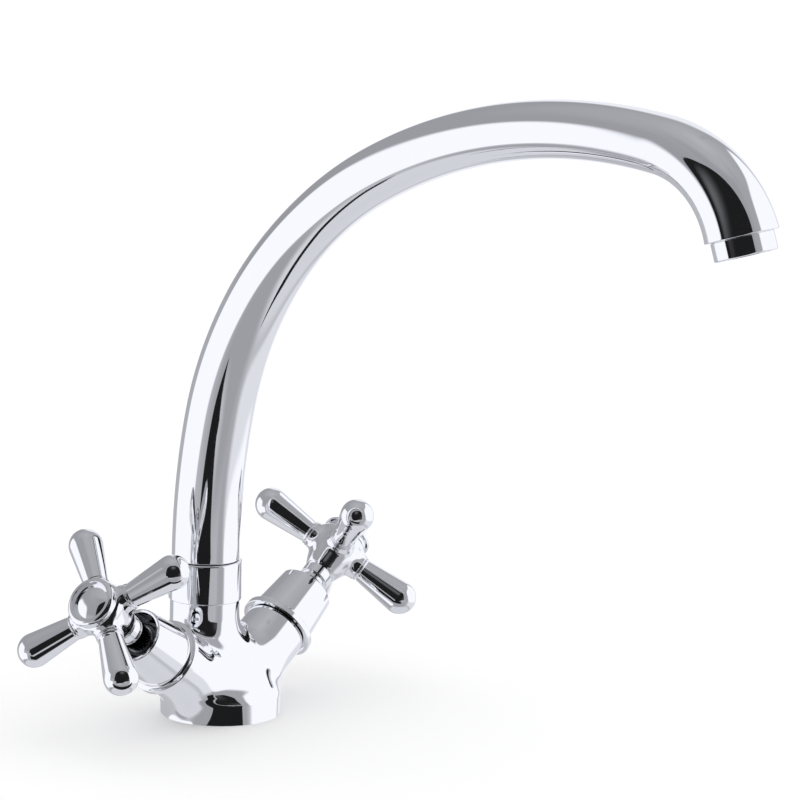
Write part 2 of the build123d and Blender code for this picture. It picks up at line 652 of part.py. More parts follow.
def aerator_screen():
    """The steel screen inside the insert."""
    top = SCREEN_PLACE - AERATOR_THREAD
    disc = ring(INSERT_WAY_R - LAND, 0, top, top + SCREEN_THICK)
    return tip_plane() * pierced(disc, GRID_R, SCREEN_PITCH, SCREEN_HOLE_R, top,
                                 top + SCREEN_THICK)


# ---------------- assembly ----------------
FIXED = {"valve_body": valve_body, "foot_gasket": foot_gasket, "ring_nut": ring_nut,
         "spout_tube": spout_tube, "spout_nipple": spout_nipple, "spout_seals": spout_seals,
         "slip_rings": slip_rings, "aerator_housing": aerator_housing,
         "aerator_washer": aerator_washer, "aerator_insert": aerator_insert,
         "aerator_screen": aerator_screen}
PER_SIDE = {"bell_cover": bell_cover, "valve_housing": valve_housing,
            "headwork_washer": headwork_washer, "seat_seal": seat_seal,
            "fixed_disc": fixed_disc, "moving_disc": moving_disc, "spindle": spindle,
            "spindle_seals": spindle_seals, "circlip": circlip, "hub": hub, "arms": arms,
            "cap": cap, "handle_screw": handle_screw}


def assembly():
    """Every node's shape by its name, in the part's frame."""
    nodes = {name: make() for name, make in FIXED.items()}
    for name, make in PER_SIDE.items():
        shape = make()
        for side in SIDES:
            nodes[f"{side}_{name}"] = branch_plane(side) * shape
    return nodes


if __name__ == "__main__":
    os.makedirs("parts", exist_ok=True)
    for node, shape in assembly().items():
        export_step(shape, f"parts/{node}.step")
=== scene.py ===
import json
import math

import bmesh
import bpy
import numpy as np
from mathutils import Matrix, Vector


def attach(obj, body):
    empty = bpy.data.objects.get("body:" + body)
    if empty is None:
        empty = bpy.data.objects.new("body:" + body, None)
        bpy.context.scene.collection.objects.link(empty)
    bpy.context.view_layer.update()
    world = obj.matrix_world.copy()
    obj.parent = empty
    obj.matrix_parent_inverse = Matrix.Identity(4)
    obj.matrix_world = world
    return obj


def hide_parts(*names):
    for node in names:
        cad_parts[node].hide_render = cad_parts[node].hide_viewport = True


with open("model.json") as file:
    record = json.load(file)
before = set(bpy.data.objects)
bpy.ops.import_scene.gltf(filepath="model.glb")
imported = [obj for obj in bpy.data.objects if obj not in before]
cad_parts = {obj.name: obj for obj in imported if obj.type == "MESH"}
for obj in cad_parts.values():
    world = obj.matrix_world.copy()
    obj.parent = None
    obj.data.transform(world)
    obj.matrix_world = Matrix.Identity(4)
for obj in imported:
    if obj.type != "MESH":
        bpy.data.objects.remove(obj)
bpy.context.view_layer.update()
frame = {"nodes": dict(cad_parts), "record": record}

# Two handle kitchen faucet in a white studio. Shapes are in millimetres in the part's own
# frame and become metres when a mesh is made. On a branch, Z is its axis, outwards.
MM = 0.001

# ---------------- the photograph's camera ----------------
PHOTO_SIDE = 800                # pixels
FOCAL = 4991.9                  # pixels
CAMERA_YAW = -52.72             # degrees from -Y, towards the hot side
CAMERA_PITCH = 11.29
CAMERA_ROLL = 1.64
CAMERA_DISTANCE = 2000.0        # along the view, to the foot's centre
FOOT_PIXEL = (220.0, 710.7)     # where the foot's centre is in the photograph
SENSOR = 36.0                   # millimetres

# ---------------- sizes of the visible pieces ----------------
SIDES = {"hot": -1, "cold": 1}
BRANCH_TILT = 34.2
BRANCH_Z = 4.4
SPOUT_Y = 9.1

# the body's round sections: (height, centre's Y, radius)
BODY_SECTIONS = [(0, 0, 23.8), (8, 0, 23.8), (11, 0.5, 23.0), (14, 1.6, 21.6), (20, 3.8, 18.8),
                 (27, 6.8, 15.8), (33, 8.6, 14.3), (39, SPOUT_Y, 13.9), (45, SPOUT_Y, 13.9)]
BODY_BLEND = 13.0
BARREL_R = 13.2
BARREL_START = 12.6
BARREL_END = 43.0
NECK_TOP = 45.0
INLET = (9.9, 4.5, 14.0)        # distance from the centre, radius, depth
STUD_HOLE = (13.5, 3.4, 14.0)
GROOVE = (20.0, 22.2, 1.8)      # inner and outer radius, depth
BODY_SPACE = ((-56, -27, -4), (56, 27, 49))
BODY_GRID = 0.75

NUT_R = 14.6
NUT_TOP = 61.2
NUT_FOOT = 45.05
NUT_EDGES = (0.7, 0.5)          # rounding at the top and at the foot
NUT_HOLE = (10.8, 58.3)         # radius of the hole in its top, and where that starts
NUT_BORE = (12.5, 46.0)         # radius of the bore, and how far up it is drawn

SPOUT_FOOT = 61.4
SPOUT_STRAIGHT = 3.4
# the centreline's arcs as (radius, angle from upright at the arc's end)
SPOUT_ARCS = [(286.0, 11.6), (154.0, 60.0), (214.0, 97.1), (43.8, 161.5)]
SPOUT_RADII = [13.6, 13.5, 12.4, 11.25, 11.15, 11.1, 11.4, 14.1]
SPOUT_LIP = 0.5                 # rounding at both ends
LIP_STEPS = 8
SPOUT_RINGS = 241
SPOUT_BORE = (10.5, 6.0)        # radius and drawn depth of the bore at the foot
SPOUT_SOCKET = (11.7, 7.0)      # radius and depth of the aerator's socket

AERATOR_R = 12.0
AERATOR_LENGTH = 7.3
AERATOR_SEAM = 0.1              # the gap under the spout's end
AERATOR_THREAD = (11.6, 5.5)    # radius and length of what is screwed into the spout
AERATOR_BORE_R = 10.4
AERATOR_LIP = (9.7, 0.8)        # radius and thickness of the lip round the outlet
AERATOR_EDGES = (0.2, 0.6, 0.3)  # rounding inside the lip, at the outlet and at the seam

# the bell's outline: web, skirt, cone, lip and the inside, as (radius, length, rounding)
BELL_OUTLINE = [(10.5, 43.05), (13.9, 43.05), (13.9, 41.8, 0.2), (15.4, 41.8, 0.4),
                (15.4, 44.5, 0.5), (13.3, 44.9, 1.6), (11.3, 65.0, 0.6), (9.9, 64.6, 0.4),
                (10.4, 52.0), (11.7, 50.0), (11.7, 43.05)]

HUB_T = 87.7                    # plane of the four arms
# the hub's outline as (length, radius)
HUB_PROFILE = [(75.2, 6.35), (75.5, 6.6), (78.2, 7.85), (80.8, 8.8), (84.0, 9.65),
               (87.5, 10.25), (89.8, 10.45), (91.6, 10.88), (92.9, 10.5), (94.0, 9.7),
               (94.4, 9.6), (95.2, 9.6)]
# the stepped sleeve behind the hub: (radius, start, end) of each step
HUB_STEPS = [(5.3, 61.5, 67.9), (5.9, 67.9, 69.0), (5.3, 69.0, 70.4), (6.3, 70.4, 74.3),
             (5.8, 74.3, 75.3)]
SLEEVE_WIDE_R = 5.8             # steps above this radius are the wide ones
SLEEVE_EDGES = (0.1, 0.35)      # rounding of a narrow and of a wide step
SLEEVE_BORE_R = 4.1
HUB_SPACE = 14                  # half width of the room that the hub takes
HUB_GRID = 0.35
BOSS_R = 5.5
BOSS_BLEND = 3.2
BOSS_EDGE = 0.6
ARM_PHASE = 41.0
ARM_COUNT = 4
ARM_REACH = 32.4
ARM_BALL_R = 6.9
ARM_ROOT_R = 4.9
ARM_SEAT = 12.4
ARM_COLLAR_R = 5.3
ARM_COLLAR = 0.9
ARM_COLLAR_EDGE = 0.25
ARM_GROOVE = (0.35, 0.5)        # depth and length of the groove behind the collar
ARM_GAP = 0.02                  # between the collar and its boss
ARM_INNER_R = 3.0               # the collar's face is drawn from this radius

CAP_R = 10.4
CAP_FRONT = 98.2
CAP_BACK = 95.9
CAP_ROUND = 2.0
CAP_EDGES = (0.3, 0.2)          # rounding at the back and at the rim's inner edge
CAP_SKIRT = (8.8, 91.0)         # radius of the skirt in the hub, and where it starts
DISH_R = 8.1
DISH_WALL = (0.3, 2.0)          # how far in and how far down the rim's inner wall goes
DOME_TOP = 98.6


# ---------------- mesh making ----------------
def smooth_curve(xs, ys):
    """A smooth function through the points that never overshoots them."""
    xs, ys = np.asarray(xs, float), np.asarray(ys, float)
    steps = np.diff(ys) / np.diff(xs)
    slopes = np.zeros(len(xs))
    before, after = steps[:-1], steps[1:]
    same = before * after > 0
    slopes[1:-1][same] = 2 * before[same] * after[same] / (before[same] + after[same])
    slopes[0], slopes[-1] = steps[0], steps[-1]

    def value(x):
        x = np.clip(x, xs[0], xs[-1])
        i = np.clip(np.searchsorted(xs, x, side="right") - 1, 0, len(xs) - 2)
        width = xs[i + 1] - xs[i]
        u = (x - xs[i]) / width
        return (ys[i] * (1 + 2 * u) * (1 - u) ** 2 + slopes[i] * width * u * (1 - u) ** 2
                + ys[i + 1] * u * u * (3 - 2 * u) - slopes[i + 1] * width * u * u * (1 - u))

    return value


def matrix_of(origin, x_axis, z_axis):
    """The 4x4 placement with that origin, X and Z."""
    z = np.asarray(z_axis, float) / np.linalg.norm(z_axis)
    x = np.asarray(x_axis, float)
    x = x - z * (x @ z)
    x = x / np.linalg.norm(x)
    place = np.eye(4)
    place[:3, 0], place[:3, 1], place[:3, 2] = x, np.cross(z, x), z
    place[:3, 3] = origin
    return place


def branch_place(side):
    tilt, out = math.radians(BRANCH_TILT), SIDES[side]
    return matrix_of((0, 0, BRANCH_Z), (0, -out, 0), (out * math.cos(tilt), 0, math.sin(tilt)))


def upright_place(y):
    return matrix_of((0, y, 0), (1, 0, 0), (0, 0, 1))


def arm_place(k):
    """Arm k's frame on its branch: Z runs outwards from the hub's axis."""
    angle = math.radians(ARM_PHASE + 360 / ARM_COUNT * k)
    return matrix_of((0, 0, HUB_T), (0, 0, 1), (math.cos(angle), math.sin(angle), 0))


class Shell:
    """Faces with an exact normal at each of their corners, in millimetres."""

    def __init__(self):
        self.points = []
        self.faces = []
        self.normals = []

    def add(self, points, faces, normals, place=None):
        """normals holds one row of corner normals per face."""
        points = np.asarray(points, float)
        turn = np.eye(3)
        if place is not None:
            turn = place[:3, :3]
            points = points @ turn.T + place[:3, 3]
        start = len(self.points)
        self.points.extend(points.tolist())
        for face, corners in zip(faces, normals):
            corners = np.asarray(corners, float) @ turn.T
            ring = points[list(face)]
            across = np.cross(ring[1] - ring[0], ring[2] - ring[0])
            if len(face) == 4:
                across = np.cross(ring[2] - ring[0], ring[3] - ring[1])
            order = list(range(len(face)))
            if across @ corners.mean(axis=0) < 0:
                order.reverse()
            self.faces.append([start + face[i] for i in order])
            self.normals.extend(corners[i].tolist() for i in order)

    def build(self, name, material, body, slot, *nodes):
        """The finished object, riding on its body in place of its CAD nodes."""
        mesh = bpy.data.meshes.new(name)
        mesh.from_pydata((np.asarray(self.points) * MM).tolist(), [], self.faces)
        mesh.polygons.foreach_set("use_smooth", [True] * len(mesh.polygons))
        mesh.normals_split_custom_set(self.normals)
        mesh.materials.append(material)
        piece = bpy.data.objects.new(name, mesh)
        bpy.context.scene.collection.objects.link(piece)
        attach(piece, body)
        if nodes:
            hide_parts(*nodes)


def rounded(corners, detail=8):
    """Points along an outline of (r, z) or (r, z, rounding) corners."""
    path = [np.array(corners[0][:2], float)]
    for i in range(1, len(corners) - 1):
        here = np.array(corners[i][:2], float)
        radius = corners[i][2] if len(corners[i]) > 2 else 0
        if not radius:
            path.append(here)
            continue
        back = np.array(corners[i - 1][:2], float) - here
        ahead = np.array(corners[i + 1][:2], float) - here
        back, ahead = back / np.linalg.norm(back), ahead / np.linalg.norm(ahead)
        half = math.acos(np.clip(back @ ahead, -1, 1)) / 2
        middle = here + (back + ahead) / np.linalg.norm(back + ahead) * radius / math.sin(half)
        first = here + back * radius / math.tan(half)
        last = here + ahead * radius / math.tan(half)
        start, sweep = first - middle, math.pi - 2 * half
        sense = np.sign(start[0] * (last - middle)[1] - start[1] * (last - middle)[0])
        for k in range(detail + 1):
            a = sense * sweep * k / detail
            turn = np.array([[math.cos(a), -math.sin(a)], [math.sin(a), math.cos(a)]])
            path.append(middle + turn @ start)
    path.append(np.array(corners[-1][:2], float))
    return path


def curve_through(start, middle, end, detail=16):
    """Points of the arc through three (r, z) points, without its first."""
    a, b, c = (np.array(p, float) for p in (start, middle, end))
    rows = np.array([b - a, c - a])
    centre = np.linalg.solve(rows, [(b @ b - a @ a) / 2, (c @ c - a @ a) / 2])
    angles = [math.atan2(*(p - centre)[::-1]) for p in (a, b, c)]
    whole = 2 * math.pi
    sweep = (angles[2] - angles[0]) % whole
    if (angles[1] - angles[0]) % whole > sweep:
        sweep -= whole
    radius = np.linalg.norm(a - centre)
    turns = [angles[0] + sweep * k / detail for k in range(1, detail + 1)]
    return [centre + radius * np.array([math.cos(t), math.sin(t)]) for t in turns]


SHARP = math.radians(24)        # a bend above this stays a hard edge
LONG_RUN = 2.5                  # a run this many times its neighbour's length stays flat


def slope_of(curve, at, reach=0.05):
    return (curve(at + reach) - curve(at - reach)) / (2 * reach)


def outline_normals(path):
    """For each run between two points, the normals at its start and end."""
    path = np.asarray(path)
    runs = np.diff(path, axis=0)
    lengths = np.linalg.norm(runs, axis=1)
    flat = np.stack([runs[:, 1], -runs[:, 0]], axis=1) / lengths[:, None]
    starts, ends = flat.copy(), flat.copy()
    for i in range(1, len(runs)):
        bend = math.acos(np.clip(flat[i - 1] @ flat[i], -1, 1))
        if bend > SHARP:
            continue
        if lengths[i] > LONG_RUN * lengths[i - 1]:
            shared = flat[i]
        elif lengths[i - 1] > LONG_RUN * lengths[i]:
            shared = flat[i - 1]
        else:
            shared = flat[i - 1] + flat[i]
            shared = shared / np.linalg.norm(shared)
        ends[i - 1], starts[i] = shared, shared
    return starts, ends


def lathe(shell, path, place, segments=96):
    """Turns an outline of (r, z) points about Z; its outside is on its right."""
    starts, ends = outline_normals(path)
    turns = np.linspace(0, 2 * math.pi, segments, endpoint=False)
    circle = np.stack([np.cos(turns), np.sin(turns)], axis=1)
    points, rings = [], []
    for r, z in path:
        if r < 1e-6:
            rings.append([len(points)] * segments)
            points.append((0, 0, z))
            continue
        rings.append(list(range(len(points), len(points) + segments)))
        points.extend((r * c, r * s, z) for c, s in circle)
    faces, normals = [], []
    for i in range(len(path) - 1):
        low, high = rings[i], rings[i + 1]
        for j in range(segments):
            k = (j + 1) % segments
            spans = [(low[j], starts[i], j), (low[k], starts[i], k),
                     (high[k], ends[i], k), (high[j], ends[i], j)]
            face, corners = [], []
            for index, flat, turn in spans:
                if index in face:
                    continue
                face.append(index)
                corners.append((flat[0] * circle[turn][0], flat[0] * circle[turn][1], flat[1]))
            faces.append(face)
            normals.append(corners)
    shell.add(points, faces, normals, place)


def gradient(field, points, reach=0.02):
    """The field's slope at each point."""
    slopes = np.zeros_like(points)
    for axis in range(3):
        shift = np.zeros(3)
        shift[axis] = reach
        slopes[:, axis] = (field(points + shift) - field(points - shift)) / (2 * reach)
    return slopes


def unit(rows):
    return rows / np.linalg.norm(rows, axis=1)[:, None]


def settle(field, points, rounds=5):
    """The points moved onto the field's zero level."""
    for _ in range(rounds):
        slopes = gradient(field, points)
        points = points - slopes * (field(points) / (slopes * slopes).sum(axis=1))[:, None]
    return points


def skin(field, low, high, step):
    """Points and quads over the zero level of a field that is negative inside."""
    axes = [np.arange(a, b + step, step) for a, b in zip(low, high)]
    grid = np.stack(np.meshgrid(*axes, indexing="ij"), axis=-1)
    shape = grid.shape[:3]
    values = field(grid.reshape(-1, 3)).reshape(shape)
    inside = values < 0
    cells = tuple(n - 1 for n in shape)
    total = np.zeros(cells + (3,))
    count = np.zeros(cells)
    crossings = []
    for axis in range(3):
        one = [slice(None)] * 3
        two = [slice(None)] * 3
        one[axis], two[axis] = slice(0, -1), slice(1, None)
        one, two = tuple(one), tuple(two)
        crossed = inside[one] != inside[two]
        crossings.append(crossed)
        gap = np.where(crossed, values[one] - values[two], 1)
        part = np.where(crossed, values[one] / gap, 0)
        spots = (grid[one] + part[..., None] * (grid[two] - grid[one])) * crossed[..., None]
        others = [a for a in range(3) if a != axis]
        for da in (0, 1):
            for db in (0, 1):
                cut = [slice(None)] * 3
                cut[others[0]] = slice(da, da + cells[others[0]])
                cut[others[1]] = slice(db, db + cells[others[1]])
                total += spots[tuple(cut)]
                count += crossed[tuple(cut)]
    number = np.full(cells, -1)
    live = count > 0
    number[live] = np.arange(live.sum())
    points = total[live] / count[live][:, None]
    faces = []
    for axis in range(3):
        others = [a for a in range(3) if a != axis]
        spots = np.argwhere(crossings[axis])
        inner = np.all([(spots[:, a] > 0) & (spots[:, a] < cells[a]) for a in others], axis=0)
        spots = spots[inner]
        corners = []
        for da, db in ((1, 1), (0, 1), (0, 0), (1, 0)):
            cell = spots.copy()
            cell[:, others[0]] -= da
            cell[:, others[1]] -= db
            corners.append(number[tuple(cell.T)])
        faces.append(np.stack(corners, axis=1))
    return settle(field, points), np.concatenate(faces)


def cut_open(points, faces, planes):
    """The mesh without what lies beyond each (point, outward normal) plane."""
    bm = bmesh.new()
    verts = [bm.verts.new(p) for p in points]
    for face in faces:
        bm.faces.new([verts[i] for i in face])
    for point, normal in planes:
        geometry = bm.verts[:] + bm.edges[:] + bm.faces[:]
        bmesh.ops.bisect_plane(bm, geom=geometry, plane_co=point, plane_no=normal,
                               clear_outer=True, dist=0.01)
    bm.verts.index_update()
    points = np.array([v.co[:] for v in bm.verts])
    faces = [[v.index for v in f.verts] for f in bm.faces]
    rims = [[v.index for v in e.verts] for e in bm.edges if e.is_boundary]
    bm.free()
    return points, faces, rims


def add_skin(shell, field, points, faces, place=None):
    normals = unit(gradient(field, points))
    shell.add(points, faces, [normals[list(face)] for face in faces], place)


def disc_with_holes(shell, rims, normal, place=None):
    """A flat face inside closed rims of points, the first of which is the outermost."""
    bm = bmesh.new()
    for rim in rims:
        verts = [bm.verts.new(p) for p in rim]
        for a, b in zip(verts, verts[1:] + verts[:1]):
            bm.edges.new((a, b))
    bmesh.ops.triangle_fill(bm, edges=bm.edges[:], use_beauty=True, use_dissolve=False)
    bm.verts.index_update()
    points = [v.co[:] for v in bm.verts]
    faces = [[v.index for v in f.verts] for f in bm.faces]
    bm.free()
    shell.add(points, faces, [[normal] * len(face) for face in faces], place)


def chained(points, edges):
    """The closed loops of points that the edges form."""
    linked = {}
    for a, b in edges:
        linked.setdefault(a, []).append(b)
        linked.setdefault(b, []).append(a)
    loops = []
    while linked:
        start = next(iter(linked))
        loop, here, last = [start], start, None
        while True:
            nearby = linked.pop(here)
            ahead = nearby[0] if nearby[0] != last else nearby[1]
            if ahead == start:
                break
            loop.append(ahead)
            last, here = here, ahead
        loops.append(points[loop])
    return loops


def circle_points(centre, radius, z, count=64):
    turns = np.linspace(0, 2 * math.pi, count, endpoint=False)
    return np.stack([centre[0] + radius * np.cos(turns), centre[1] + radius * np.sin(turns),
                     np.full(count, z)], axis=1)


def blend(a, b, width):
    """The lower of two fields, run together over that width."""
    near = np.maximum(width - np.abs(a - b), 0) / width
    return np.minimum(a, b) - near ** 3 * width / 6


# ---------------- materials ----------------
def new_material(name):
    material = bpy.data.materials.new(name)
    material.use_nodes = True
    return material, material.node_tree.nodes, material.node_tree.links


def noise(nodes, links, scale, detail, coordinates):
    texture = nodes.new("ShaderNodeTexNoise")
    texture.inputs["Scale"].default_value = scale
    texture.inputs["Detail"].default_value = detail
    links.new(coordinates.outputs["Object"], texture.inputs["Vector"])
    return texture


def ranged(nodes, links, source, low, high):
    """The source's 0 to 1 mapped to low to high."""
    mapped = nodes.new("ShaderNodeMapRange")
    mapped.inputs["To Min"].default_value = low
    mapped.inputs["To Max"].default_value = high
    links.new(source, mapped.inputs["Value"])
    return mapped.outputs["Result"]


def metal(name, color, roughness, grain, grain_scale, bump=0.0):
    """A metal whose polish varies a little over its surface."""
    material, nodes, links = new_material(name)
    shader = nodes["Principled BSDF"]
    shader.inputs["Base Color"].default_value = color + (1.0,)
    shader.inputs["Metallic"].default_value = 1.0
    coordinates = nodes.new("ShaderNodeTexCoord")
    haze = noise(nodes, links, grain_scale, detail=4.0, coordinates=coordinates)
    links.new(ranged(nodes, links, haze.outputs["Fac"], roughness, roughness + grain),
              shader.inputs["Roughness"])
    if bump:
        relief = nodes.new("ShaderNodeBump")
        relief.inputs["Strength"].default_value = bump
        relief.inputs["Distance"].default_value = 0.0002
        links.new(haze.outputs["Fac"], relief.inputs["Height"])
        links.new(relief.outputs["Normal"], shader.inputs["Normal"])
    return material


def plain(name, color, roughness, grain_scale, contrast=0.12):
    """A dull material, such as rubber or plastic, with a fine grain."""
    material, nodes, links = new_material(name)
    shader = nodes["Principled BSDF"]
    shader.inputs["Roughness"].default_value = roughness
    coordinates = nodes.new("ShaderNodeTexCoord")
    grain = noise(nodes, links, grain_scale, detail=5.0, coordinates=coordinates)
    ramp = nodes.new("ShaderNodeValToRGB")
    dark = tuple(c * (1 - contrast) for c in color)
    ramp.color_ramp.elements[0].color = dark + (1.0,)
    ramp.color_ramp.elements[1].color = color + (1.0,)
    links.new(grain.outputs["Fac"], ramp.inputs["Fac"])
    links.new(ramp.outputs["Color"], shader.inputs["Base Color"])
    relief = nodes.new("ShaderNodeBump")
    relief.inputs["Strength"].default_value = 0.15
    relief.inputs["Distance"].default_value = 0.0001
    links.new(grain.outputs["Fac"], relief.inputs["Height"])
    links.new(relief.outputs["Normal"], shader.inputs["Normal"])
    return material


CHROME = metal("polished_chrome", (0.93, 0.935, 0.95), 0.02, 0.03, 90.0)
BRASS = metal("machined_brass", (0.78, 0.6, 0.3), 0.22, 0.2, 400.0, 0.2)
# nickel whose near-black colour is painted shade, standing in for the dark inside of the bells'
# mouths
NICKEL_PAINTED_SHADE = metal("nickel_painted_shade", (0.09, 0.09, 0.095), 0.16, 0.2, 400.0, 0.1)
STEEL = metal("plain_steel", (0.6, 0.61, 0.63), 0.25, 0.15, 300.0, 0.1)
CERAMIC = plain("ceramic", (0.9, 0.9, 0.87), 0.25, 500.0, 0.04)
RUBBER = plain("seal_rubber", (0.035, 0.035, 0.04), 0.6, 700.0)
FIBRE = plain("red_fibre", (0.45, 0.14, 0.1), 0.7, 600.0)
WHITE_PLASTIC = plain("white_plastic", (0.8, 0.8, 0.78), 0.4, 500.0, 0.05)
GREY_PLASTIC = plain("grey_plastic", (0.42, 0.43, 0.45), 0.4, 500.0, 0.08)
FINISHES = {"chrome": CHROME, "brass": BRASS, "nickel": NICKEL_PAINTED_SHADE, "steel": STEEL, "ceramic": CERAMIC,
            "seal_rubber": RUBBER, "fibre": FIBRE, "white_plastic": WHITE_PLASTIC,
            "grey_plastic": GREY_PLASTIC}


# ---------------- the body ----------------
def body_field():
    """Foot, neck and branches as one smooth field."""
    heights = [z for z, y, r in BODY_SECTIONS]
    centre = smooth_curve(heights, [y for z, y, r in BODY_SECTIONS])
    radius = smooth_curve(heights, [r for z, y, r in BODY_SECTIONS])
    places = [branch_place(side) for side in SIDES]

    def field(p):
        z = p[:, 2]
        slope = slope_of(radius, z)
        shape = np.hypot(p[:, 0], p[:, 1] - centre(z)) - radius(z)
        shape = shape / np.sqrt(1 + slope ** 2)
        for place in places:
            local = (p - place[:3, 3]) @ place[:3, :3]
            barrel = np.hypot(local[:, 0], local[:, 1]) - BARREL_R
            barrel = np.maximum(barrel, BARREL_START - local[:, 2])
            shape = blend(shape, barrel, BODY_BLEND)
        return shape

    return field


def make_body():
    field = body_field()
    points, faces = skin(field, *BODY_SPACE, BODY_GRID)
    planes = [((0, 0, 0), (0, 0, -1)), ((0, 0, NECK_TOP), (0, 0, 1))]
    for side in SIDES:
        place = branch_place(side)
        outward = place[:3, 2]
        planes.append((tuple(place[:3, 3] + outward * BARREL_END), tuple(outward)))
    points, faces, rims = cut_open(points, faces, planes)
    shell = Shell()
    add_skin(shell, field, points, faces)
    underside = []
    for loop in chained(points, rims):
        middle = loop.mean(axis=0)
        if middle[2] < 1:
            underside = loop
            continue
        normal = min(planes[1:], key=lambda plane: abs((middle - plane[0]) @ plane[1]))[1]
        disc_with_holes(shell, [loop], normal)
    add_underside(shell, underside)
    shell.build("body", CHROME, "body", "chrome", "valve_body")


def add_underside(shell, rim):
    """The foot's lower face with its seal's groove, two inlets and the stud's hole."""
    down = (0, 0, -1)
    inner, outer, depth = GROOVE
    holes = [((INLET[0], 0), INLET[1], INLET[2]), ((-INLET[0], 0), INLET[1], INLET[2]),
             ((0, STUD_HOLE[0]), STUD_HOLE[1], STUD_HOLE[2])]
    disc_with_holes(shell, [rim, circle_points((0, 0), outer, 0, count=96)], down)
    rims = [circle_points(centre, radius, 0) for centre, radius, _ in holes]
    disc_with_holes(shell, [circle_points((0, 0), inner, 0, count=96)] + rims, down)
    lathe(shell, [(inner, 0), (inner, depth), (outer, depth), (outer, 0)], np.eye(4))
    for centre, radius, deep in holes:
        place = np.eye(4)
        place[:3, 3] = (centre[0], centre[1], 0)
        lathe(shell, [(0, deep), (radius, deep), (radius, 0)], place, segments=64)


def make_nut():
    shell = Shell()
    path = rounded([NUT_HOLE, (NUT_HOLE[0], NUT_TOP), (NUT_R, NUT_TOP, NUT_EDGES[0]),
                    (NUT_R, NUT_FOOT, NUT_EDGES[1]), (NUT_BORE[0], NUT_FOOT), NUT_BORE])
    lathe(shell, path, upright_place(SPOUT_Y), segments=160)
    shell.build("spout_ring_nut", CHROME, "body", "chrome", "ring_nut")


# ---------------- the spout ----------------
def spout_rows():
    """The centreline's arcs as (start length, start Y, start Z, start angle, radius, end)."""
    rows = []
    length, y, z, angle = SPOUT_STRAIGHT, SPOUT_Y, SPOUT_FOOT + SPOUT_STRAIGHT, 0.0
    for radius, end_degrees in SPOUT_ARCS:
        end = math.radians(end_degrees)
        rows.append((length, y, z, angle, radius, end))
        centre = (y - radius * math.cos(angle), z - radius * math.sin(angle))
        y, z = centre[0] + radius * math.cos(end), centre[1] + radius * math.sin(end)
        length += radius * (end - angle)
        angle = end
    return rows, length


def spout_place(s):
    """The frame at length s: X across, Z along the spout."""
    rows, total = spout_rows()
    if s < SPOUT_STRAIGHT:
        return matrix_of((0, SPOUT_Y, SPOUT_FOOT + s), (1, 0, 0), (0, 0, 1))
    for start, y, z, angle, radius, end in rows:
        if s <= start + radius * (end - angle) + 1e-9:
            break
    now = angle + (s - start) / radius
    centre = (y - radius * math.cos(angle), z - radius * math.sin(angle))
    point = (0, centre[0] + radius * math.cos(now), centre[1] + radius * math.sin(now))
    return matrix_of(point, (1, 0, 0), (0, -math.sin(now), math.cos(now)))


def make_spout():
    """A swept tube with a rounded lip at both ends."""
    total = spout_rows()[1]
    radius = smooth_curve(np.linspace(0, total, len(SPOUT_RADII)), SPOUT_RADII)
    lip, segments = SPOUT_LIP, 144
    corner = [math.pi / 2 * k / LIP_STEPS for k in range(LIP_STEPS + 1)]
    edge = [(lip * (1 - math.cos(a)), -lip * (1 - math.sin(a))) for a in corner]
    rings = [(s, float(radius(0)) + dr) for s, dr in edge]
    rings += [(s, float(radius(s))) for s in np.linspace(lip, total - lip, SPOUT_RINGS)[1:-1]]
    rings += [(total - s, float(radius(total)) + dr) for s, dr in reversed(edge)]
    turns = np.linspace(0, 2 * math.pi, segments, endpoint=False)
    around = np.stack([np.cos(turns), np.sin(turns), np.zeros(segments)], axis=1)
    grid = []
    for s, r in rings:
        place = spout_place(s)
        grid.append((around * r) @ place[:3, :3].T + place[:3, 3])
    grid = np.array(grid)
    along = np.gradient(grid, axis=0)
    across = np.roll(grid, -1, axis=1) - np.roll(grid, 1, axis=1)
    normals = np.cross(across, along)
    normals = normals / np.linalg.norm(normals, axis=2)[..., None]
    faces, corners = [], []
    for i in range(len(rings) - 1):
        for j in range(segments):
            k = (j + 1) % segments
            faces.append([i * segments + j, i * segments + k,
                          (i + 1) * segments + k, (i + 1) * segments + j])
            corners.append([normals[i, j], normals[i, k], normals[i + 1, k],
                            normals[i + 1, j]])
    shell = Shell()
    shell.add(grid.reshape(-1, 3), faces, corners)
    foot_r, tip_r = float(radius(0)) - lip, float(radius(total)) - lip
    bore_r, bore_depth = SPOUT_BORE
    socket_r, socket_depth = SPOUT_SOCKET
    lathe(shell, [(bore_r, bore_depth), (bore_r, 0), (foot_r, 0)], spout_place(0), segments)
    lathe(shell, [(tip_r, 0), (socket_r, 0), (socket_r, -socket_depth), (0, -socket_depth)],
          spout_place(total), segments)
    shell.build("spout", CHROME, "spout", "chrome", "spout_tube")


def make_aerator():
    shell = Shell()
    thread_r, thread = AERATOR_THREAD
    lip_r, lip = AERATOR_LIP
    inside, outlet, seam = AERATOR_EDGES
    end = AERATOR_LENGTH
    path = rounded([(AERATOR_BORE_R, -thread), (AERATOR_BORE_R, end - lip), (lip_r, end - lip),
                    (lip_r, end, inside), (AERATOR_R, end, outlet),
                    (AERATOR_R, AERATOR_SEAM, seam), (thread_r, AERATOR_SEAM),
                    (thread_r, -thread)])
    lathe(shell, path[::-1], spout_place(spout_rows()[1]), segments=144)
    shell.build("outlet_sleeve", CHROME, "spout", "chrome", "aerator_housing")


# ---------------- the handles ----------------
def make_bell(side):
    shell = Shell()
    path = rounded(BELL_OUTLINE[::-1])
    lathe(shell, path[::-1], branch_place(side), segments=128)
    shell.build(f"{side}_bell", CHROME, "body", "chrome", f"{side}_bell_cover")


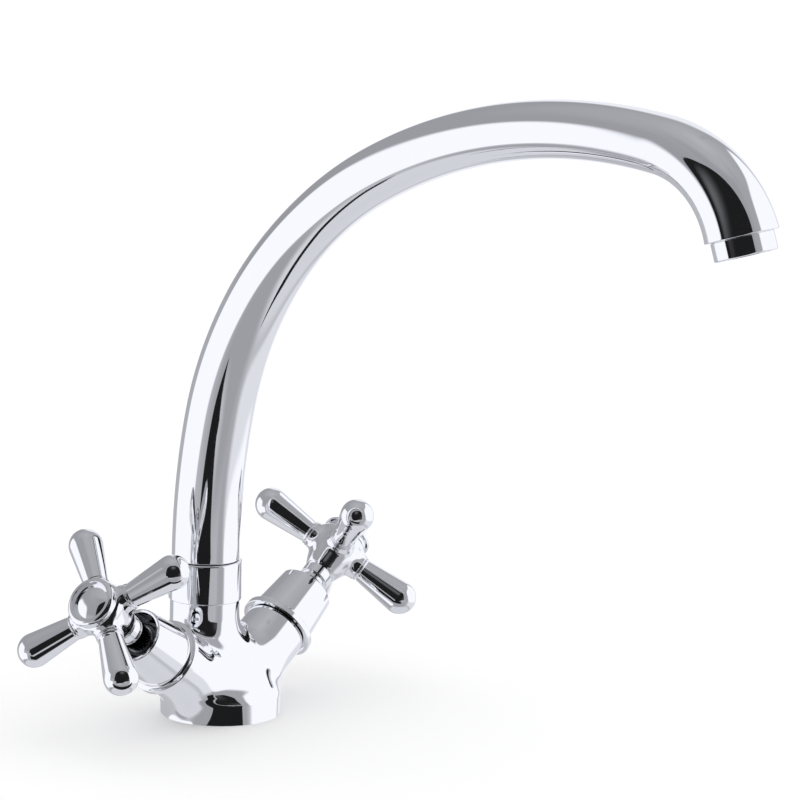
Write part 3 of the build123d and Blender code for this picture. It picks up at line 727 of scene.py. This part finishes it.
def hub_field():
    """The hub's barrel with its four bosses run in."""
    radius = smooth_curve([t for t, r in HUB_PROFILE], [r for t, r in HUB_PROFILE])
    places = [arm_place(k) for k in range(ARM_COUNT)]

    def field(p):
        t = p[:, 2]
        slope = slope_of(radius, t)
        shape = (np.hypot(p[:, 0], p[:, 1]) - radius(t)) / np.sqrt(1 + slope ** 2)
        for place in places:
            local = (p - place[:3, 3]) @ place[:3, :3]
            boss = np.hypot(local[:, 0], local[:, 1]) - BOSS_R
            boss = np.maximum(boss, -local[:, 2])
            boss = -blend(-boss, ARM_SEAT - local[:, 2], BOSS_EDGE)
            shape = blend(shape, boss, BOSS_BLEND)
        return shape

    return field


def make_hub(side, template):
    place = branch_place(side)
    shell = Shell()
    field, points, faces, loops = template
    add_skin(shell, field, points, faces, place)
    for loop in loops:
        facing = (0, 0, 1) if loop[0][2] > HUB_T else (0, 0, -1)
        disc_with_holes(shell, [loop], facing, place)
    steps = [(SLEEVE_BORE_R, HUB_STEPS[0][1])]
    for radius, start, end in HUB_STEPS:
        edge = SLEEVE_EDGES[int(radius > SLEEVE_WIDE_R)]
        steps += [(radius, start, edge), (radius, end, edge)]
    lathe(shell, rounded(steps[:-1] + [steps[-1][:2]], detail=5), place)
    shell.build(f"{side}_handle_hub", CHROME, f"{side}_handle", "chrome", f"{side}_hub")


def hub_template():
    """The hub's skin on its branch, which both sides use, and the rims of its two ends."""
    field = hub_field()
    first, last = HUB_PROFILE[0][0], HUB_PROFILE[-1][0]
    points, faces = skin(field, (-HUB_SPACE, -HUB_SPACE, first - 1),
                         (HUB_SPACE, HUB_SPACE, last + 1), HUB_GRID)
    planes = [((0, 0, first), (0, 0, -1)), ((0, 0, last), (0, 0, 1))]
    points, faces, rims = cut_open(points, faces, planes)
    return field, points, faces, chained(points, rims)


def arm_path():
    """Collar, cone and ball end of an arm."""
    groove, groove_length = ARM_GROOVE
    start = ARM_SEAT + ARM_COLLAR + groove_length
    away = ARM_REACH - start
    slope = (math.asin(ARM_BALL_R / math.hypot(away, ARM_ROOT_R))
             - math.atan2(ARM_ROOT_R, away))
    ball = [(ARM_BALL_R * math.cos(a), ARM_REACH + ARM_BALL_R * math.sin(a))
            for a in np.linspace(-slope, math.pi / 2, 25)]
    ball[-1] = (0, ARM_REACH + ARM_BALL_R)
    seat, end, edge = ARM_SEAT + ARM_GAP, ARM_SEAT + ARM_COLLAR, ARM_COLLAR_EDGE
    collar = rounded([(ARM_INNER_R, seat), (ARM_COLLAR_R, seat, edge),
                      (ARM_COLLAR_R, end, edge), (ARM_ROOT_R - groove, end)], detail=5)
    return [tuple(p) for p in collar] + [(ARM_ROOT_R, start)] + ball


def make_arms(side):
    shell = Shell()
    place = branch_place(side)
    path = arm_path()
    for k in range(ARM_COUNT):
        lathe(shell, path, place @ arm_place(k), segments=72)
    shell.build(f"{side}_handle_arms", CHROME, f"{side}_handle", "chrome", f"{side}_arms")


def make_cap(side):
    shell = Shell()
    edge = (DISH_R - DISH_WALL[0], CAP_FRONT - DISH_WALL[1])
    rise = DOME_TOP - edge[1]
    dome_r = (edge[0] ** 2 + rise ** 2) / (2 * rise)
    middle = (edge[0] / 2, DOME_TOP - dome_r + math.sqrt(dome_r ** 2 - edge[0] ** 2 / 4))
    rim = rounded([CAP_SKIRT, (CAP_SKIRT[0], CAP_BACK), (CAP_R, CAP_BACK, CAP_EDGES[0]),
                   (CAP_R, CAP_FRONT, CAP_ROUND), (DISH_R, CAP_FRONT, CAP_EDGES[1]), edge],
                  detail=12)
    path = rim + curve_through(edge, middle, (0, DOME_TOP))
    path[-1] = (0, DOME_TOP)
    lathe(shell, path, branch_place(side), segments=128)
    shell.build(f"{side}_handle_cap", CHROME, f"{side}_handle", "chrome", f"{side}_cap")


def dress_inner_pieces():
    """The CAD nodes that stay get their material's finish."""
    slots = {row["node"]: row["material_slot"] for row in frame["record"]["subparts"]}
    for name, piece in frame["nodes"].items():
        # pieces in the nickel slot get the near-black colour that is painted shade for the bells'
        # mouths
        finish = FINISHES[slots[name]]
        piece.data.materials.clear()
        piece.data.materials.append(finish)


# ---------------- studio ----------------
def camera_axes():
    """The photograph camera's right, up and view directions."""
    yaw, pitch, roll = (math.radians(v) for v in (CAMERA_YAW, CAMERA_PITCH, CAMERA_ROLL))
    back = np.array([math.sin(yaw) * math.cos(pitch), -math.cos(yaw) * math.cos(pitch),
                     math.sin(pitch)])
    right = np.cross(-back, (0, 0, 1))
    right = right / np.linalg.norm(right)
    up = np.cross(right, -back)
    turned_right = right * math.cos(roll) + up * math.sin(roll)
    turned_up = -right * math.sin(roll) + up * math.cos(roll)
    return turned_right, turned_up, -back


def add_camera():
    right, up, view = camera_axes()
    across = (FOOT_PIXEL[0] - PHOTO_SIDE / 2) / FOCAL * CAMERA_DISTANCE
    above = -(FOOT_PIXEL[1] - PHOTO_SIDE / 2) / FOCAL * CAMERA_DISTANCE
    place = -(across * right + above * up + CAMERA_DISTANCE * view) * MM
    data = bpy.data.cameras.new("photo_camera")
    data.sensor_width = SENSOR
    data.lens = FOCAL * SENSOR / PHOTO_SIDE
    data.clip_end = 20.0
    camera = bpy.data.objects.new("photo_camera", data)
    camera.matrix_world = Matrix([[right[i], up[i], -view[i], place[i]] for i in range(3)]
                                 + [[0, 0, 0, 1]])
    bpy.context.scene.collection.objects.link(camera)
    bpy.context.scene.camera = camera


# The studio that polished metal shows. Azimuth is in degrees from -Y, positive towards +X.
# A box is (azimuth, half width, elevation, half height, edge softness, squareness, level).
STUDIO_TINT = (0.93, 0.94, 1.0)
WALL_LEVELS = [(-90, 0.71), (-58, 0.73), (-45, 0.56), (-20, 0.53), (0, 0.44), (8, 0.36),
               (35, 0.37), (55, 0.42), (70, 0.45), (90, 0.5)]
STUDIO_BOXES = [(-55, 52, -36, 20, 0.30, 3, 0.385),     # front wall below the camera
                (-60, 60, 52, 10, 0.50, 2, 0.36),       # front wall above the camera
                (-58, 18, -22, 7, 0.50, 2, 0.56),       # table's edge under the camera
                (0, 14, 20, 50, 0.30, 3, 0.40),         # front wall beside the right box
                (55, 46, -27, 17, 0.20, 4, 0.82),       # table edge under the right box
                (52, 45, 12, 35, 0.06, 3.5, 1.08),      # right box
                (98, 5, 45, 33, 0.30, 2, 0.40),         # gap beside the right box
                (118, 18, 0, 44, 0.16, 3, 0.95),        # rear right strip
                (-150, 28, -9, 33, 0.10, 4, 1.08),      # left box
                (-121, 20, -26, 17, 0.10, 4, 1.08),     # left box's lower corner
                (-152, 30, -49, 4, 0.40, 3, 0.40)]      # left box's lower edge


def wired(nodes, links, kind, operation, *values):
    """A node with its inputs wired to sockets or set to numbers."""
    node = nodes.new(kind)
    if operation:
        node.operation = operation
    for i, value in enumerate(values):
        if isinstance(value, bpy.types.NodeSocket):
            links.new(value, node.inputs[i])
        else:
            node.inputs[i].default_value = value
    return node.outputs[0]


def studio_level(nodes, links):
    """How bright the studio is in the direction of the ray."""
    def math_of(operation, *values):
        return wired(nodes, links, "ShaderNodeMath", operation, *values)

    def smooth(value, start, stop, low, high):
        ramp = wired(nodes, links, "ShaderNodeMapRange", None, value, start, stop, low, high)
        ramp.node.interpolation_type = "SMOOTHSTEP"
        return ramp

    coordinates = nodes.new("ShaderNodeTexCoord")
    split = nodes.new("ShaderNodeSeparateXYZ")
    links.new(coordinates.outputs["Generated"], split.inputs[0])
    x, y, z = split.outputs
    azimuth = math_of("DEGREES", math_of("ARCTAN2", x, math_of("MULTIPLY", y, -1.0)))
    elevation = math_of("DEGREES", math_of("ARCSINE", z))
    level = WALL_LEVELS[0][1]
    for (low, before), (high, after) in zip(WALL_LEVELS, WALL_LEVELS[1:]):
        level = math_of("ADD", level, smooth(elevation, low, high, 0.0, after - before))
    for middle, half_width, height, half_height, softness, squareness, bright in STUDIO_BOXES:
        across = math_of("WRAP", math_of("SUBTRACT", azimuth, middle), 180.0, -180.0)
        across = math_of("ABSOLUTE", math_of("DIVIDE", across, half_width))
        upright = math_of("SUBTRACT", elevation, height)
        upright = math_of("ABSOLUTE", math_of("DIVIDE", upright, half_height))
        edge = math_of("ADD", math_of("POWER", across, squareness),
                       math_of("POWER", upright, squareness))
        edge = math_of("POWER", edge, 1 / squareness)
        inside = smooth(edge, 1 - softness, 1 + softness, 1.0, 0.0)
        mixed = math_of("MULTIPLY", inside, math_of("SUBTRACT", bright, level))
        level = math_of("ADD", level, mixed)
    return level


def add_world():
    """Plain white light for everything, and the studio for what metal reflects."""
    world = bpy.data.worlds.new("white_studio")
    bpy.context.scene.world = world
    world.use_nodes = True
    nodes, links = world.node_tree.nodes, world.node_tree.links
    plain_white = nodes["Background"]
    plain_white.inputs["Color"].default_value = (1, 1, 1, 1)
    plain_white.inputs["Strength"].default_value = 1.0
    studio = nodes.new("ShaderNodeBackground")
    studio.inputs["Color"].default_value = STUDIO_TINT + (1,)
    links.new(studio_level(nodes, links), studio.inputs["Strength"])
    rays = nodes.new("ShaderNodeLightPath")
    choice = nodes.new("ShaderNodeMixShader")
    links.new(rays.outputs["Is Glossy Ray"], choice.inputs[0])
    links.new(plain_white.outputs[0], choice.inputs[1])
    links.new(studio.outputs[0], choice.inputs[2])
    links.new(choice.outputs[0], nodes["World Output"].inputs["Surface"])


# The tent's dark opening, which the camera looks through: an upright sheet at OPENING_DISTANCE
# from the faucet, with its left and right edges along it and the heights of its shoulders and
# crown, all in metres.
OPENING_AZIMUTH = -43.2
OPENING_DISTANCE = 0.285
OPENING_EDGES = (0.285, -0.205)
OPENING_BOTTOM = 0.0
OPENING_SHOULDER = 0.25
OPENING_CROWN = 0.41
OPENING_CURVE = 3.0
OPENING_LEVEL = 0.013
OPENING_STEPS = 65
# what shows of the dark room under it: the distance, and its lower edge as (along, height)
ROOM_DISTANCE = 0.5
ROOM_FLOOR = [(-0.16, -0.02), (-0.08, -0.05), (0.0, -0.09), (0.12, -0.115), (0.25, -0.14),
              (0.36, -0.16)]
ROOM_TOP = 0.1
# the low dark step close to the foot: its distance, edges along it, and top and bottom
STEP_DISTANCE = 0.12
STEP_EDGES = (0.135, -0.085)
STEP_HEIGHTS = (-0.06, -0.004)
# paler patches in it: (along, height, radius, brightness)
OPENING_PATCHES = [(0.03, 0.29, 0.12, 0.12), (-0.2, 0.04, 0.12, 0.07)]


def only_in_reflections(obj):
    """Nothing but a glossy ray meets it."""
    for ray in ("camera", "diffuse", "transmission", "volume_scatter", "shadow"):
        setattr(obj, "visible_" + ray, False)


def add_dark_opening():
    """The dark dome-shaped opening that the chrome shows as its black bands."""
    turn = math.radians(OPENING_AZIMUTH)
    outward = np.array([math.sin(turn), -math.cos(turn), 0])
    along = np.array([-math.cos(turn), -math.sin(turn), 0])
    left, right = OPENING_EDGES
    middle, half = (left + right) / 2, (left - right) / 2
    strip = []
    for s in np.linspace(left, right, OPENING_STEPS):
        rise = math.sqrt(max(0.0, 1 - (abs(s - middle) / half) ** OPENING_CURVE))
        top = OPENING_SHOULDER + (OPENING_CROWN - OPENING_SHOULDER) * rise
        strip.append((OPENING_DISTANCE, s, OPENING_BOTTOM, top))
    low = smooth_curve([s for s, z in ROOM_FLOOR], [z for s, z in ROOM_FLOOR])
    strip += [(ROOM_DISTANCE, s, float(low(s)), ROOM_TOP)
              for s in np.linspace(ROOM_FLOOR[0][0], ROOM_FLOOR[-1][0], OPENING_STEPS)]
    strip += [(STEP_DISTANCE, s) + STEP_HEIGHTS for s in STEP_EDGES]
    points, faces = [], []
    for i, (distance, s, bottom, top) in enumerate(strip):
        for height in (bottom, top):
            points.append(tuple(outward * distance + along * s + (0, 0, height)))
        if i and strip[i - 1][0] == distance:
            faces.append((2 * i - 2, 2 * i, 2 * i + 1, 2 * i - 1))
    mesh = bpy.data.meshes.new("dark_opening")
    mesh.from_pydata(points, [], faces)
    opening = bpy.data.objects.new("dark_opening", mesh)
    bpy.context.scene.collection.objects.link(opening)
    material, nodes, links = new_material("dark_opening")
    coordinates = nodes.new("ShaderNodeTexCoord")
    level = OPENING_LEVEL
    for s, height, radius, bright in OPENING_PATCHES:
        spot = tuple(outward * OPENING_DISTANCE + along * s + (0, 0, height))
        away = nodes.new("ShaderNodeVectorMath")
        away.operation = "DISTANCE"
        links.new(coordinates.outputs["Object"], away.inputs[0])
        away.inputs[1].default_value = spot
        glow = nodes.new("ShaderNodeMapRange")
        glow.interpolation_type = "SMOOTHSTEP"
        glow.inputs["From Max"].default_value = radius
        glow.inputs["To Min"].default_value = bright
        glow.inputs["To Max"].default_value = 0.0
        links.new(away.outputs["Value"], glow.inputs["Value"])
        level = wired(nodes, links, "ShaderNodeMath", "ADD", level, glow.outputs["Result"])
    shade = nodes.new("ShaderNodeEmission")
    shade.inputs["Color"].default_value = STUDIO_TINT + (1,)
    links.new(level, shade.inputs["Strength"])
    links.new(shade.outputs[0], nodes["Material Output"].inputs["Surface"])
    mesh.materials.append(material)
    only_in_reflections(opening)


FLOOR_HALF = 3.0                # metres
FLOOR_SHADE = 0.9
FLOOR_GLOW = 0.14


def add_floor():
    """A pale floor that goes over into the white background."""
    mesh = bpy.data.meshes.new("studio_floor")
    half = FLOOR_HALF
    mesh.from_pydata([(-half, -half, 0), (half, -half, 0), (half, half, 0), (-half, half, 0)],
                     [], [(0, 1, 2, 3)])
    floor = bpy.data.objects.new("studio_floor", mesh)
    bpy.context.scene.collection.objects.link(floor)
    material, nodes, links = new_material("studio_white")
    shader = nodes["Principled BSDF"]
    shader.inputs["Base Color"].default_value = (FLOOR_SHADE, FLOOR_SHADE, FLOOR_SHADE, 1)
    shader.inputs["Roughness"].default_value = 0.9
    shader.inputs["Specular IOR Level"].default_value = 0.0
    shader.inputs["Emission Color"].default_value = (1, 1, 1, 1)
    shader.inputs["Emission Strength"].default_value = FLOOR_GLOW
    mesh.materials.append(material)
    floor.visible_glossy = False


add_camera()
add_world()
add_dark_opening()
add_floor()
dress_inner_pieces()
make_body()
make_nut()
make_spout()
make_aerator()
HUB = hub_template()
for side in SIDES:
    make_bell(side)
    make_hub(side, HUB)
    make_arms(side)
    make_cap(side)

bpy.context.scene.view_settings.view_transform = "Standard"
